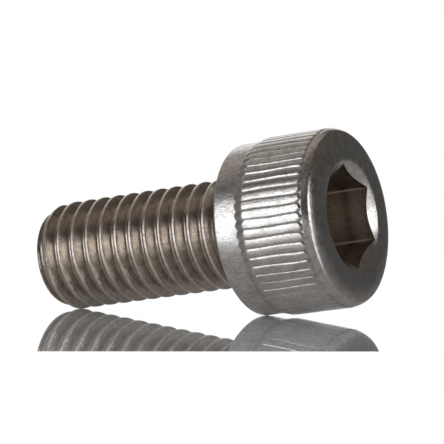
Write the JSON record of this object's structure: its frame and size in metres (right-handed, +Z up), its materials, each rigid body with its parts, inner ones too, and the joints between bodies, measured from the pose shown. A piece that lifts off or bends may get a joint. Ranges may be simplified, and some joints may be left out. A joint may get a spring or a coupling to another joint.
{
  "type": "hex socket cap screw",
  "caption": "Cap screw with a knurled cylindrical head, a hexagon socket and a full-length right-hand thread, lying at rest; for clamping parts in a counterbored or plain hole.",
  "frame": {"origin": "centre of the bounding box, on the floor that the screw rests on", "axes": "+Z up; the screw's axis lies in the XZ plane, with the head towards +X, and rises by 8.22 degrees from the tip to the head because the collar is wider than the thread"},
  "size_m": [0.0312, 0.0158, 0.0165],
  "materials": {
    "stainless_steel": "rolled and turned, slightly satin"
  },
  "bodies": {
    "root": {"cap_screw": "stainless_steel"}
  },
  "joints": []
}
